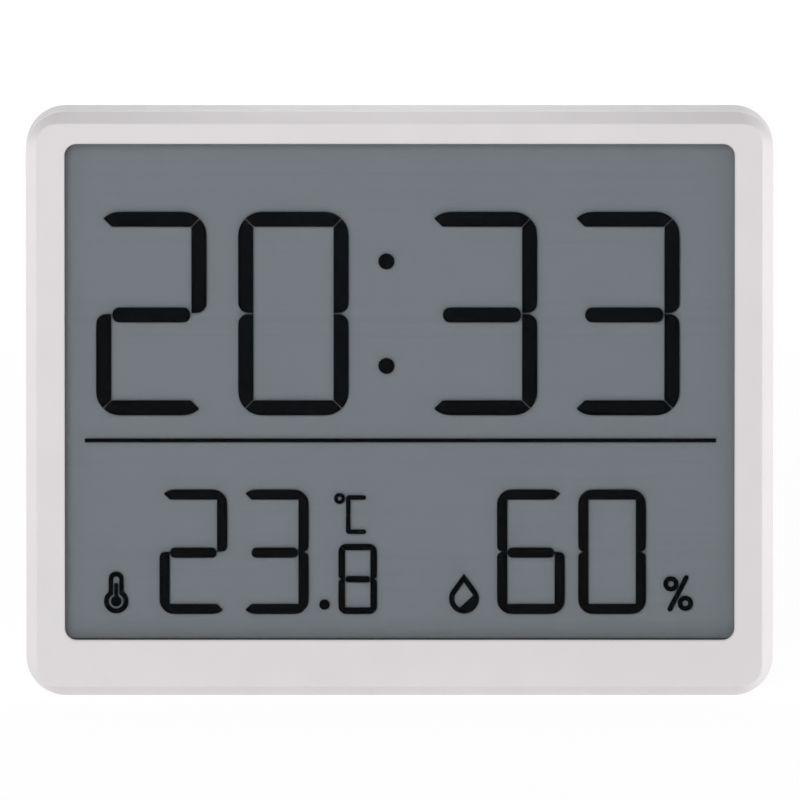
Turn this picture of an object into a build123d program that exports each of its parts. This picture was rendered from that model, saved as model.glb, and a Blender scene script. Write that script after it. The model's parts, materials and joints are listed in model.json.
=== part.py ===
from build123d import *
import os

# Desk and wall clock with a large LCD for time, temperature and humidity.
# Millimetres. X runs to the right as seen from the front, Y to the back, Z up.
# The origin is below the middle of the case, on the surface that it stands on.
# Depths are measured from the front face, heights from that surface.

# Case
case_width = 165.0
case_height = 129.8
case_corner = 8.8
case_wall = 1.8
back_wall = 1.8
front_bevel = 2.35
bevel_depth = 3.6
face_corner = 4.4
bevel_softening = 0.4
rear_rounding = 1.2
bezel_depth = 7.0
parting_groove = 0.3
lip_thickness = 1.0
lip_height = 1.5
lip_root = 1.0
lip_clearance = 0.1
overrun = 1.0
plane_tolerance = 0.001

# Window and lens
side_margin = 8.53
top_margin = 6.85
chin = 12.69
window_corner = 2.65
window_edge_break = 0.3
face_web = 1.6
lens_recess = 0.6
lens_overlap = 1.0
lens_clearance = 0.1

# Display layers, from the front to the back
gasket_thickness = 0.3
gasket_setback = 0.3
polariser_thickness = 0.2
polariser_setback = 0.3
glass_thickness = 0.55
cell_gap = 0.1
reflector_thickness = 0.3
glass_margin = 1.5
glass_lower_margin = 1.0
contact_ledge = 2.5
edge_seal_width = 1.2

# Lit bars of the display, placed by shares of the window
time_digits = "2033"
time_left_shares = (-0.4531, -0.2410, 0.0404, 0.2528)
time_low_share = 0.4498
time_width_share = 0.1651
time_height_share = 0.4122
time_bar = 3.37
time_corner = 5.3
time_split_corner = 2.3
time_gap = 0.17
time_middle_drop = 0.3
climate_digits = "2360"
climate_left_shares = (-0.3588, -0.2371, 0.1454, 0.2666)
climate_low_share = 0.0494
climate_width_share = 0.1015
climate_height_share = 0.2520
climate_bar = 2.30
climate_corner = 3.3
climate_split_corner = 1.3
climate_gap = 0.02
climate_middle_drop = 0.2
tenths_digit = "8"
tenths_left_share = -0.0915
tenths_width_share = 0.0578
tenths_height_share = 0.1424
tenths_bar = 1.50
tenths_corner = 1.8
tenths_split_corner = 0.8
tenths_middle_drop = 0.08
colon_x_share = -0.0197
colon_height_shares = (0.5505, 0.7610)
colon_radius = 1.78
point_x_share = -0.1122
point_height_share = 0.0688
point_radius = 1.17
divider_shares = (-0.4702, 0.4725)
divider_height_share = 0.4002
divider_thickness = 0.9

# Retainer behind the display
retainer_thickness = 2.6
retainer_bar = 6.0
retainer_top_bar = 14.0
ear_clearance = 0.2
ear_height_shares = (0.12, 0.77)

# Main board and what it carries
board_thickness = 1.2
board_height = 26.4
board_side_margin = 16.5
board_clearance = 0.3
zebra_thickness = 1.9
zebra_side_margin = 11.0
zebra_clearance = 0.4
chip_radius = 5.5
chip_height = 1.5
chip_slope = 1.0
chip_x_share = -0.17
chip_above_board_edge = 7.0
crystal_radius = 1.05
crystal_length = 6.2
capacitor_size = (2.0, 0.8, 1.25)
capacitor_count = 4
capacitor_pitch = 3.2
board_part_gap = 2.0
sensor_size = (12.0, 3.2, 8.0)
sensor_chamber_wall = 0.8
sensor_inset = 16.0
switch_size = 6.0
switch_height = 3.5

# Screws
case_screw_head = 2.0
case_screw_head_height = 1.7
case_screw_shank = 1.15
case_screw_clearance = 0.3
case_boss_wall = 0.6
case_seat = 2.5
case_boss_gap = 0.1
bezel_boss_wall = 1.35
bezel_skin = 1.1
screw_end_gap = 0.3
side_boss_gap = 0.2
side_screw_below_top = 17.6
chin_screw_inset = 22.5
chin_screw_height = 6.5
small_screw_head = 1.7
small_screw_head_height = 1.2
small_screw_shank = 0.95
small_screw_clearance = 0.15
board_screw_shares = (-0.42, 0.0, 0.42)
board_screw_below_top = 7.4
board_screw_end_gap = 0.2

# Battery bay and the two AAA cells
cell_radius = 5.25
cell_length = 44.5
cell_rim = 0.5
cell_nub_radius = 1.9
cell_nub_length = 0.8
cell_spacing = 1.0
cell_clearance = 0.2
cell_floor_clearance = 0.2
spring_length = 5.9
spring_chord = 5.6
spring_width = 4.0
spring_sheet = 0.35
contact_sheet = 0.4
contact_width = 7.0
contact_height = 7.1
contact_tail = 2.0
contact_slot_clearance = 0.1
contact_board_lap = 3.0
bay_wall = 1.6
bay_floor = 1.2
bay_gap = 0.3
bay_below_board = 5.2
cell_to_door = 0.4

# Battery door
door_ledge = 0.8
door_clearance = 0.2
door_seat_gap = 0.1
door_corner = 1.5
door_tab_width = 6.0
door_tab_reach = 1.6
door_tab_thickness = 1.1
door_tab_gap = 0.1
door_tab_inset = 8.0
door_tab_depth_room = 1.2
door_tongue_width = 12.0
door_tongue_length = 7.0
door_tongue_slot = 0.8
door_scoop_radius = 9.0
door_scoop_depth = 0.8

# Kickstand
stand_width = 62.0
stand_low = 3.0
stand_plate = 2.3
stand_inset = 0.3
stand_clearance = 0.35
stand_end_clearance = 0.4
stand_corner = 4.0
stand_barrel_radius = 2.5
stand_barrel_inset = 0.2
stand_barrel_clearance = 0.3
stand_stud_radius = 1.2
stand_stud_length = 2.0
stand_stud_clearance = 0.05
stand_stud_end_gap = 0.4
stand_notch_width = 18.0
stand_notch_height = 7.0
stand_floor_gap = 0.2
stand_core_depth = 1.1
stand_core_margin = 4.0
stand_core_columns = 3
stand_rib = 1.4
recess_wall = 1.4
ear_wall = 3.4
pocket_margin = 2.0
pocket_depth = 5.0
wall_to_wall = 1.2

# Keyhole
keyhole_entry_radius = 4.0
keyhole_slot_width = 4.2
keyhole_rise = 7.0
keyhole_below_top = 16.8
keyhole_pocket_depth = 4.6
keyhole_pocket_margin = 0.6
keyhole_wall = 1.2

# Rear buttons
button_names = ("down", "up", "set")
button_pitch = 12.0
button_inset = 4.0
button_below_top = 19.8
button_radius = 3.5
button_recess = 0.3
button_edge = 0.4
button_clearance = 0.25
button_flange_radius = 4.4
button_flange_thickness = 0.8
button_flange_gap = 0.1
button_stem_radius = 1.5
plunger_radius = 1.6
plunger_length = 1.9
plunger_rise = 0.8
plunger_clearance = 0.15

# Vents over the climate sensor
vent_count = 6
vent_width = 1.6
vent_height = 10.0
vent_pitch = 3.4

# Places that follow from the sizes above
inner_top = case_height - case_wall
web_inset = case_wall + front_bevel * (1 - face_web / bevel_depth)
window_width = case_width - 2 * side_margin
window_low = chin
window_high = case_height - top_margin
window_height = window_high - window_low
glass_half = window_width / 2 + glass_margin
glass_low = window_low - glass_lower_margin
glass_high = window_high + glass_lower_margin
ledge_high = glass_high + contact_ledge
gasket_front = face_web
polariser_front = gasket_front + gasket_thickness
front_glass_front = polariser_front + polariser_thickness
cell_gap_front = front_glass_front + glass_thickness
rear_glass_front = cell_gap_front + cell_gap
reflector_front = rear_glass_front + glass_thickness
retainer_front = reflector_front + reflector_thickness
bay_floor_front = retainer_front + bay_gap
bay_floor_back = bay_floor_front + bay_floor
cell_depth = bay_floor_back + cell_floor_clearance + cell_radius
inner_back = cell_depth + cell_radius + cell_to_door
case_depth = inner_back + back_wall
board_front = retainer_front + retainer_thickness
board_back = board_front + board_thickness
lip_inner_inset = case_wall + lip_clearance + lip_thickness
board_high = case_height - lip_inner_inset - board_clearance
board_low = board_high - board_height
board_half = case_width / 2 - board_side_margin
ear_room = case_width / 2 - lip_inner_inset - glass_half
ear_radius = ear_room / 2 - ear_clearance
ear_x = glass_half + ear_room / 2
ear_heights = [glass_low + share * (glass_high - glass_low) for share in ear_height_shares]
ear_places = [(side * ear_x, height) for side in (-1, 1) for height in ear_heights]
board_screw_places = [(share * 2 * board_half, board_high - board_screw_below_top)
                      for share in board_screw_shares]
case_boss_front = bezel_depth - lip_height
case_screw_seat = case_boss_front + case_seat
case_counterbore = case_screw_head + case_screw_clearance
case_boss_radius = case_counterbore + case_boss_wall
side_screw_x = glass_half + side_boss_gap + case_boss_radius
side_screw_height = case_height - side_screw_below_top
chin_screw_x = case_width / 2 - chin_screw_inset
case_screw_places = [(side * side_screw_x, side_screw_height) for side in (-1, 1)]
case_screw_places += [(side * chin_screw_x, chin_screw_height) for side in (-1, 1)]

bay_length = cell_length + spring_length + 2 * contact_sheet
bay_height = 4 * cell_radius + cell_spacing + 2 * cell_clearance
bay_high = board_low - bay_below_board - bay_wall
bay_low = bay_high - bay_height
lower_cell_height = bay_low + cell_clearance + cell_radius
upper_cell_height = bay_high - cell_clearance - cell_radius
door_thickness = back_wall - door_seat_gap
door_low = bay_low - door_ledge + door_clearance
door_high = bay_high + door_ledge - door_clearance
door_half = bay_length / 2 + door_ledge - door_clearance
tail_back = board_back + contact_tail

recess_half = stand_width / 2 + stand_clearance
recess_low = stand_low - stand_end_clearance
barrel_room = stand_barrel_radius + stand_barrel_clearance
hinge_height = bay_low - bay_wall - wall_to_wall - recess_wall - barrel_room
hinge_depth = case_depth - stand_barrel_inset - stand_barrel_radius
stand_back = case_depth - stand_inset
stand_front = stand_back - stand_plate
recess_floor = stand_front - stand_floor_gap
barrel_floor = hinge_depth - barrel_room
pocket_half = stand_notch_width / 2 + pocket_margin
pocket_high = stand_low + stand_notch_height + 2 * pocket_margin
pocket_floor = recess_floor - pocket_depth

keyhole_height = case_height - keyhole_below_top
keyhole_pocket_radius = keyhole_entry_radius + keyhole_pocket_margin
keyhole_floor = inner_back - keyhole_pocket_depth
button_height = case_height - button_below_top
button_xs = [board_half - button_inset - index * button_pitch for index in range(len(button_names))]
button_hole = button_radius + button_clearance
switch_back = board_back + switch_height
capacitors_right = button_xs[-1] - switch_size / 2 - board_part_gap
capacitors_left = capacitors_right - (capacitor_count - 1) * capacitor_pitch - capacitor_size[0]
crystal_right = capacitors_left - board_part_gap
plunger_back = switch_back + plunger_rise
flange_back = inner_back - button_flange_gap
flange_front = flange_back - button_flange_thickness
sensor_x = sensor_inset - board_half


def y_at(depth):
    """Y of the plane that lies this far behind the front face."""
    return depth - case_depth / 2


def slab(outline, front, back):
    """Solid of an outline drawn as seen from the front, between two depths."""
    return extrude(Plane.XZ.offset(-y_at(back)) * outline, amount=back - front)


def face_at(outline, depth):
    """Flat face of an outline at one depth."""
    return (Plane.XZ.offset(-y_at(depth)) * outline).face()


def brick(left, right, front, back, low, high):
    """Box between two sides, two depths and two heights."""
    middle = Pos((left + right) / 2, y_at((front + back) / 2), (low + high) / 2)
    return middle * Box(right - left, back - front, high - low)


def rods(places, radius, front, back):
    """Round rods that run front to back, one for each place."""
    return slab(Sketch() + [Pos(x, height) * Circle(radius) for x, height in places], front, back)


def crossbar(radius, left, right, depth, height):
    """Round bar along X."""
    middle = Pos((left + right) / 2, y_at(depth), height)
    return middle * Rot(0, 90, 0) * Cylinder(radius, right - left)


def panel(half_width, low, high, corner=0):
    """Flat outline centred on X between two heights."""
    middle = Pos(0, (low + high) / 2)
    if corner:
        return middle * RectangleRounded(2 * half_width, high - low, corner)
    return middle * Rectangle(2 * half_width, high - low)


def case_outline(inset):
    """Outline of the case, drawn in by an inset."""
    return panel(case_width / 2 - inset, inset, case_height - inset, case_corner - inset)


def window_outline(spread):
    """Outline of the window, spread out on all sides."""
    corner = window_corner + spread
    return panel(window_width / 2 + spread, window_low - spread, window_high + spread, corner)


def edges_at(shape, depth):
    """Edges that lie flat at one depth."""
    near = y_at(depth) - plane_tolerance
    far = y_at(depth) + plane_tolerance
    return shape.edges().filter_by(lambda edge: near < edge.bounding_box().min.Y
                                   and edge.bounding_box().max.Y < far)


def front_bezel():
    """Front frame with its bevelled edge, window, lens rebate and screw bosses."""
    face = panel(case_width / 2 - front_bevel, front_bevel, case_height - front_bevel, face_corner)
    bezel = loft([face_at(case_outline(0), bevel_depth), face_at(face, 0)], ruled=True)
    bezel += slab(case_outline(0), bevel_depth, bezel_depth)
    bezel = fillet(edges_at(bezel, 0), bevel_softening)
    bezel = chamfer(edges_at(bezel, bezel_depth), parting_groove)
    hollow = [case_outline(case_wall), case_outline(web_inset)]
    bezel -= loft([face_at(hollow[0], bevel_depth), face_at(hollow[1], face_web)], ruled=True)
    bezel -= slab(hollow[0], bevel_depth, bezel_depth)
    bezel -= slab(window_outline(0), 0, face_web)
    bezel -= slab(window_outline(lens_overlap + lens_clearance), lens_recess, face_web)
    window_edges = edges_at(bezel, 0).filter_by(lambda edge: inside_window(edge.center()))
    bezel = chamfer(window_edges, window_edge_break)
    bosses = rods(ear_places, ear_radius, face_web, retainer_front)
    boss_radius = case_screw_shank + bezel_boss_wall
    bosses += rods(case_screw_places, boss_radius, face_web, case_boss_front - case_boss_gap)
    bezel += bosses & slab(case_outline(0), 0, bezel_depth)
    bezel -= rods(ear_places, small_screw_shank, bezel_skin, retainer_front)
    bezel -= rods(case_screw_places, case_screw_shank, bezel_skin, case_boss_front)
    return bezel


def inside_window(point):
    """Whether a point lies on or inside the window's outline."""
    return abs(point.X) < (window_width + side_margin) / 2 and window_low / 2 < point.Z < inner_top


def front_lens():
    """Clear window that seats in the rebate behind the bezel's face."""
    return slab(window_outline(lens_overlap), lens_recess, face_web)


def glass_outline(inset=0, high=glass_high):
    """Outline of the display's glass."""
    return panel(glass_half - inset, glass_low + inset, high - inset)


def display_gasket():
    """Foam ring between the bezel and the display."""
    ring = glass_outline() - window_outline(gasket_setback)
    return slab(ring, gasket_front, polariser_front)


def front_polariser():
    """Grey film on the front glass."""
    return slab(glass_outline(polariser_setback), polariser_front, front_glass_front)


def front_glass():
    """Front glass, higher than the rear glass by the contact ledge."""
    return slab(glass_outline(high=ledge_high), front_glass_front, cell_gap_front)


def edge_seal():
    """Seal that closes the gap between the glasses."""
    ring = glass_outline() - glass_outline(edge_seal_width)
    return slab(ring, cell_gap_front, rear_glass_front)


def rear_glass():
    """Rear glass."""
    return slab(glass_outline(), rear_glass_front, reflector_front)


def reflector():
    """Grey rear polariser with its reflector."""
    return slab(glass_outline(polariser_setback), reflector_front, retainer_front)


def half_digit(width, height, bar, corner, split_corner, gap):
    """Upper half of a seven-bar digit around (0, 0): left upright, top bar and right upright."""
    outline = Pos(0, height / 4) * Rectangle(width, height / 2 - gap)
    top_corners = outline.vertices().group_by(Axis.Y)[-1]
    outline = fillet(top_corners, corner)
    split_corners = outline.vertices().group_by(Axis.Y)[0]
    outline = fillet(split_corners, split_corner)
    inner_x = width / 2 - bar
    inner_y = height / 2 - gap / 2 - bar
    outline -= Pos(0, inner_y / 2) * Rectangle(2 * inner_x, inner_y)
    for side in (-1, 1):
        mitre = Rot(0, 0, 90 - side * 45) * Pos(bar, 0) * Rectangle(4 * bar, gap)
        outline -= Pos(side * inner_x, inner_y) * mitre
    return outline.faces().sort_by(Axis.X)


def digit(lit, width, height, bar, corner, split_corner, gap, middle_drop):
    """Lit bars of one digit, centred on (0, 0)."""
    upper_left, top, upper_right = half_digit(width, height, bar, corner, split_corner, gap)
    middle_length = width - 2 * bar - 2 * gap
    half_turn = Rot(0, 0, 180)
    bars = {
        "a": top,
        "b": upper_right,
        "c": half_turn * upper_left,
        "d": half_turn * top,
        "e": half_turn * upper_right,
        "f": upper_left,
        "g": Pos(0, -middle_drop) * SlotOverall(middle_length, bar),
    }
    lit_bars = {"0": "abcdef", "1": "bc", "2": "abdeg", "3": "abcdg", "4": "bcfg", "5": "acdfg",
                "6": "acdefg", "7": "abc", "8": "abcdefg", "9": "abcdfg"}
    return Sketch() + [bars[letter] for letter in lit_bars[lit]]


def digit_row(digits, left_shares, low_share, width_share, height_share, *bar_sizes):
    """Row of digits placed by shares of the window."""
    width = width_share * window_width
    height = height_share * window_height
    middle_height = window_low + low_share * window_height + height / 2
    row = []
    for lit, left_share in zip(digits, left_shares):
        middle_x = left_share * window_width + width / 2
        row.append(Pos(middle_x, middle_height) * digit(lit, width, height, *bar_sizes))
    return Sketch() + row


def time_segments():
    """Lit bars of the hours and minutes."""
    row = digit_row(time_digits, time_left_shares, time_low_share, time_width_share,
                    time_height_share, time_bar, time_corner, time_split_corner, time_gap,
                    time_middle_drop)
    return slab(row, cell_gap_front, rear_glass_front)


def climate_segments():
    """Lit bars of the temperature, its tenths and the humidity."""
    row = digit_row(climate_digits, climate_left_shares, climate_low_share, climate_width_share,
                    climate_height_share, climate_bar, climate_corner, climate_split_corner,
                    climate_gap, climate_middle_drop)
    row += digit_row(tenths_digit, [tenths_left_share], climate_low_share, tenths_width_share,
                     tenths_height_share, tenths_bar, tenths_corner, tenths_split_corner,
                     climate_gap, tenths_middle_drop)
    return slab(row, cell_gap_front, rear_glass_front)


def display_marks():
    """Colon, decimal point and dividing line."""
    colon = [(colon_x_share * window_width, window_low + share * window_height)
             for share in colon_height_shares]
    point = (point_x_share * window_width, window_low + point_height_share * window_height)
    marks = rods(colon, colon_radius, cell_gap_front, rear_glass_front)
    marks += rods([point], point_radius, cell_gap_front, rear_glass_front)
    left, right = [share * window_width for share in divider_shares]
    middle = window_low + divider_height_share * window_height
    marks += brick(left, right, cell_gap_front, rear_glass_front,
                   middle - divider_thickness / 2, middle + divider_thickness / 2)
    return marks


def display_frame():
    """Retainer that presses the display into the bezel, with four screw ears."""
    opening_low = glass_low + retainer_bar
    opening_high = glass_high - retainer_top_bar
    outline = glass_outline() - panel(glass_half - retainer_bar, opening_low, opening_high)
    outline += [Pos(x, height) * Circle(ear_radius) for x, height in ear_places]
    for x, height in ear_places:
        reach = abs(x) - glass_half + retainer_bar / 2
        side = abs(x) / x
        neck = Rectangle(reach, 2 * ear_radius)
        outline += Pos(x - side * reach / 2, height) * neck
    clearance_radius = small_screw_shank + small_screw_clearance
    outline -= Sketch() + [Pos(x, height) * Circle(clearance_radius) for x, height in ear_places]
    outline -= Sketch() + [Pos(x, height) * Circle(small_screw_shank) for x, height in board_screw_places]
    return slab(outline, retainer_front, board_front)


def zebra_connector():
    """Rubber strip between the glass ledge and the board."""
    half = glass_half - zebra_side_margin
    low = glass_high + zebra_clearance
    return brick(-half, half, cell_gap_front, board_front, low, low + zebra_thickness)


def main_board():
    """Printed board with its screw holes."""
    outline = panel(board_half, board_low, board_high)
    clearance_radius = small_screw_shank + small_screw_clearance
    outline -= Sketch() + [Pos(x, height) * Circle(clearance_radius) for x, height in board_screw_places]
    return slab(outline, board_front, board_back)


def controller_chip():
    """Low mound of epoxy over the bonded chip."""
    x = 2 * board_half * chip_x_share
    blob = rods([(x, board_low + chip_above_board_edge)], chip_radius, board_back, board_back + chip_height)
    return chamfer(edges_at(blob, board_back + chip_height), chip_slope)


def clock_crystal():
    """Watch crystal can that lies on the board."""
    height = board_low + chip_above_board_edge
    left = crystal_right - crystal_length
    return crossbar(crystal_radius, left, crystal_right, board_back + crystal_radius, height)


def board_capacitors():
    """Row of small ceramic capacitors."""
    length, rise, breadth = capacitor_size
    low = board_low + chip_above_board_edge - breadth / 2
    row = []
    for index in range(capacitor_count):
        start = capacitors_left + index * capacitor_pitch
        row.append(brick(start, start + length, board_back, board_back + rise, low, low + breadth))
    return Part() + row


def climate_sensor():
    """Sensor with an open chamber that faces the vents."""
    length, rise, breadth = sensor_size
    low = button_height - breadth / 2
    left = sensor_x - length / 2
    body = brick(left, left + length, board_back, board_back + rise, low, low + breadth)
    wall = sensor_chamber_wall
    chamber = brick(left + wall, left + length - wall, board_back + rise / 2, board_back + rise + overrun,
                    low + wall, low + breadth - wall)
    return body - chamber


def switch_bodies():
    """Three tact switches with the wells that their plungers run in."""
    places = [(x, button_height) for x in button_xs]
    outline = Sketch() + [Pos(x, height) * Rectangle(switch_size, switch_size) for x, height in places]
    well_front = plunger_back - plunger_length - plunger_rise
    bodies = slab(outline, board_back, switch_back)
    return bodies - rods(places, plunger_radius + plunger_clearance, well_front, switch_back)


def screws(places, seat, end, head_radius, head_height, shank_radius):
    """Screws driven from the back, as separate solids."""
    heads = rods(places, head_radius, seat, seat + head_height)
    return heads + rods(places, shank_radius, end, seat)


def display_frame_screws():
    """Four screws through the retainer's ears into the bezel."""
    return screws(ear_places, board_front, bezel_skin + screw_end_gap, small_screw_head,
                  small_screw_head_height, small_screw_shank)


def board_screws():
    """Three screws through the board into the retainer."""
    return screws(board_screw_places, board_back, retainer_front + board_screw_end_gap, small_screw_head,
                  small_screw_head_height, small_screw_shank)


def case_screws():
    """Four screws through the rear housing into the bezel."""
    return screws(case_screw_places, case_screw_seat, bezel_skin + screw_end_gap, case_screw_head,
                  case_screw_head_height, case_screw_shank)


def housing_shell():
    """Open tray with a rounded rear edge and the lip that centres it in the bezel."""
    shell = slab(case_outline(0), bezel_depth, case_depth)
    shell = fillet(edges_at(shell, case_depth), rear_rounding)
    shell = chamfer(edges_at(shell, bezel_depth), parting_groove)
    shell -= slab(case_outline(case_wall), bezel_depth, inner_back)
    lip_inner = case_outline(lip_inner_inset)
    lip_outer = case_outline(case_wall + lip_clearance)
    shell += slab(case_outline(case_wall) - lip_inner, bezel_depth, bezel_depth + lip_root)
    shell += slab(lip_outer - lip_inner, bezel_depth - lip_height, bezel_depth)
    return shell


def case_bosses():
    """Screw bosses of the housing, trimmed to the inside of the case."""
    bosses = rods(case_screw_places, case_boss_radius, case_boss_front, inner_back)
    return bosses & slab(case_outline(case_wall + lip_clearance), case_boss_front, inner_back)


def stand_recess_walls():
    """Pan that the folded stand lies in, with its hinge ears and finger pocket."""
    pan_half = recess_half + recess_wall
    walls = brick(-pan_half, pan_half, recess_floor - recess_wall, inner_back,
                  case_wall / 2, hinge_height + barrel_room)
    ear_half = recess_half + ear_wall
    walls += brick(-ear_half, ear_half, barrel_floor - recess_wall, inner_back,
                   hinge_height - barrel_room - recess_wall, hinge_height + barrel_room + recess_wall)
    walls += brick(-pocket_half - recess_wall, pocket_half + recess_wall, pocket_floor - recess_wall,
                   inner_back, case_wall / 2, pocket_high + recess_wall)
    return walls


def stand_recess_room():
    """Space cut for the folded stand, its barrel, its studs and a fingertip."""
    behind = case_depth + overrun
    room = brick(-recess_half, recess_half, recess_floor, behind, recess_low, hinge_height)
    room += brick(-recess_half, recess_half, barrel_floor, behind,
                  hinge_height - barrel_room, hinge_height + barrel_room)
    room += brick(-pocket_half, pocket_half, pocket_floor, behind, recess_low, pocket_high)
    socket_half = stand_width / 2 + stand_stud_length + stand_stud_end_gap
    socket_radius = stand_stud_radius + stand_stud_clearance
    room += crossbar(socket_radius, -socket_half, socket_half, hinge_depth, hinge_height)
    return room


def battery_bay_walls():
    """Floor and walls of the battery bay."""
    half = bay_length / 2 + bay_wall
    return brick(-half, half, bay_floor_front, inner_back, bay_low - bay_wall, bay_high + bay_wall)


def battery_bay_room():
    """Space cut for the cells, the door, its tabs and the contact strips."""
    half = bay_length / 2
    room = brick(-half, half, bay_floor_back, case_depth, bay_low, bay_high)
    opening = panel(half + door_ledge, bay_low - door_ledge, bay_high + door_ledge, door_corner)
    room += slab(opening, inner_back, case_depth)
    tab_front = inner_back - door_tab_gap - door_tab_thickness - door_tab_depth_room
    slot_half = door_tab_width / 2 + door_clearance
    for side in (-1, 1):
        x = side * (door_half - door_tab_inset)
        room += brick(x - slot_half, x + slot_half, tab_front, inner_back, bay_high, bay_high + bay_wall)
    clear = contact_slot_clearance
    room += brick(half - contact_sheet - clear, half, board_back - clear, tail_back + clear,
                  bay_high, bay_high + bay_wall)
    room += brick(half, half + bay_wall, board_back - clear, tail_back + clear,
                  lower_cell_height - contact_tail / 2 - clear, lower_cell_height + contact_tail / 2 + clear)
    return room


def keyhole_outline(entry_radius, slot_radius):
    """Round entry with a slot above it."""
    outline = Pos(0, keyhole_height) * Circle(entry_radius)
    outline += Pos(0, keyhole_height + keyhole_rise / 2) * Rectangle(2 * slot_radius, keyhole_rise)
    outline += Pos(0, keyhole_height + keyhole_rise) * Circle(slot_radius)
    return outline


def keyhole_pocket(spread):
    """Room behind the keyhole for the head of a wall screw."""
    radius = keyhole_pocket_radius + spread
    return keyhole_outline(radius, radius)


def vents():
    """Row of slots in the back in front of the climate sensor."""
    row = []
    for index in range(vent_count):
        x = sensor_x + (index - (vent_count - 1) / 2) * vent_pitch
        row.append(Pos(x, button_height) * Rot(0, 0, 90) * SlotOverall(vent_height, vent_width))
    return slab(Sketch() + row, inner_back, case_depth)


def rear_housing():
    """Rear shell with the battery bay, stand recess, keyhole, bosses, button holes and vents."""
    housing = housing_shell() + case_bosses() + stand_recess_walls() + battery_bay_walls()
    housing += slab(keyhole_pocket(keyhole_wall), keyhole_floor - keyhole_wall, inner_back)
    housing -= stand_recess_room()
    housing -= battery_bay_room()
    housing -= slab(keyhole_pocket(0), keyhole_floor, inner_back)
    housing -= slab(keyhole_outline(keyhole_entry_radius, keyhole_slot_width / 2), inner_back, case_depth)
    housing -= rods([(x, button_height) for x in button_xs], button_hole, inner_back, case_depth)
    housing -= vents()
    housing -= rods(case_screw_places, case_counterbore, case_screw_seat, case_depth)
    shank_hole = case_screw_shank + case_screw_clearance
    housing -= rods(case_screw_places, shank_hole, case_boss_front, case_screw_seat)
    return housing


def battery(height, nub_side):
    """AAA cell along X with its nub towards one side."""
    body_length = cell_length - cell_nub_length
    nub_tip = nub_side * (bay_length / 2 - contact_sheet)
    shoulder = nub_tip - nub_side * cell_nub_length
    bottom = shoulder - nub_side * body_length
    cell = crossbar(cell_radius, *sorted((bottom, shoulder)), cell_depth, height)
    cell = chamfer(cell.edges().filter_by(GeomType.CIRCLE), cell_rim)
    return cell + crossbar(cell_nub_radius, *sorted((shoulder, nub_tip)), cell_depth, height)


def contact_plate(side, low, high):
    """Flat contact at one end of the bay."""
    outer = side * bay_length / 2
    inner = outer - side * contact_sheet
    return brick(min(inner, outer), max(inner, outer), cell_depth - contact_width / 2,
                 cell_depth + contact_width / 2, low, high)


def leaf_spring(side, height):
    """Bowed strip that presses on the flat end of a cell."""
    root = side * (bay_length / 2 - contact_sheet)
    tip = root - side * spring_length
    inner_tip = tip + side * spring_sheet
    near = y_at(cell_depth - spring_chord / 2)
    far = y_at(cell_depth + spring_chord / 2)
    middle = y_at(cell_depth)
    outer_arc = ThreePointArc((root, near), (tip, middle), (root, far))
    inner_arc = ThreePointArc((root, near + spring_sheet), (inner_tip, middle), (root, far - spring_sheet))
    ends = Line(outer_arc @ 0, inner_arc @ 0) + Line(outer_arc @ 1, inner_arc @ 1)
    profile = make_face(Curve() + [outer_arc, inner_arc] + ends)
    strip = extrude(Plane.XY.offset(height - spring_width / 2) * profile, amount=spring_width)
    return strip


def contact_positive():
    """Plate for the upper cell's nub, with a strip up to the board."""
    low = upper_cell_height - contact_height / 2
    plate = contact_plate(1, low, low + contact_height)
    right = bay_length / 2
    strip = brick(right - contact_sheet, right, board_back, tail_back, low, board_low + contact_board_lap)
    return plate + strip


def contact_negative():
    """Sprung plate for the lower cell, with a strip through the bay's end and up to the board."""
    low = lower_cell_height - contact_height / 2
    plate = contact_plate(1, low, low + contact_height)
    inner = bay_length / 2
    outer = inner + bay_wall
    foot = lower_cell_height - contact_tail / 2
    bridge = brick(inner, outer, board_back, tail_back, foot, foot + contact_tail)
    strip = brick(outer, outer + contact_sheet, board_back, tail_back, foot, board_low + contact_board_lap)
    return plate + bridge + strip + leaf_spring(1, lower_cell_height)


def contact_bridge():
    """Plate that joins the two cells, sprung for the upper one."""
    plate = contact_plate(-1, lower_cell_height - contact_height / 2, upper_cell_height + contact_height / 2)
    return plate + leaf_spring(-1, upper_cell_height)


def battery_door():
    """Door with two tabs at its upper edge and a finger tongue at its lower edge."""
    front = case_depth - door_thickness
    door = slab(panel(door_half, door_low, door_high, door_corner), front, case_depth)
    tab_back = inner_back - door_tab_gap
    tab_front = tab_back - door_tab_thickness
    tab_high = door_high + door_tab_reach
    for side in (-1, 1):
        x = side * (door_half - door_tab_inset)
        left = x - door_tab_width / 2
        right = x + door_tab_width / 2
        door += brick(left, right, tab_front, tab_back, bay_high, tab_high)
        door += brick(left, right, tab_front, front, bay_high, door_high)
        slot_x = side * (door_tongue_width + door_tongue_slot) / 2
        slot_left = slot_x - door_tongue_slot / 2
        door -= brick(slot_left, slot_left + door_tongue_slot, front, case_depth,
                      door_low, door_low + door_tongue_length)
    scoop_depth = case_depth - door_scoop_depth + door_scoop_radius
    scoop_height = door_low + door_tongue_length / 2
    scoop = crossbar(door_scoop_radius, -door_tongue_width / 2, door_tongue_width / 2,
                     scoop_depth, scoop_height)
    return door - (scoop & door)


def kickstand():
    """Folding stand with a hinge barrel, two moulded studs, a finger notch and a cored inner side."""
    half = stand_width / 2
    outline = Pos(0, (stand_low + hinge_height) / 2) * Rectangle(stand_width, hinge_height - stand_low)
    outline = fillet(outline.vertices().group_by(Axis.Y)[0], stand_corner)
    notch = Pos(0, stand_low) * SlotOverall(stand_notch_width, 2 * stand_notch_height)
    stand = slab(outline - notch, stand_front, stand_back)
    stand -= stand_cores()
    stand += crossbar(stand_barrel_radius, -half, half, hinge_depth, hinge_height)
    stud_half = half + stand_stud_length
    return stand + crossbar(stand_stud_radius, -stud_half, stud_half, hinge_depth, hinge_height)


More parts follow.
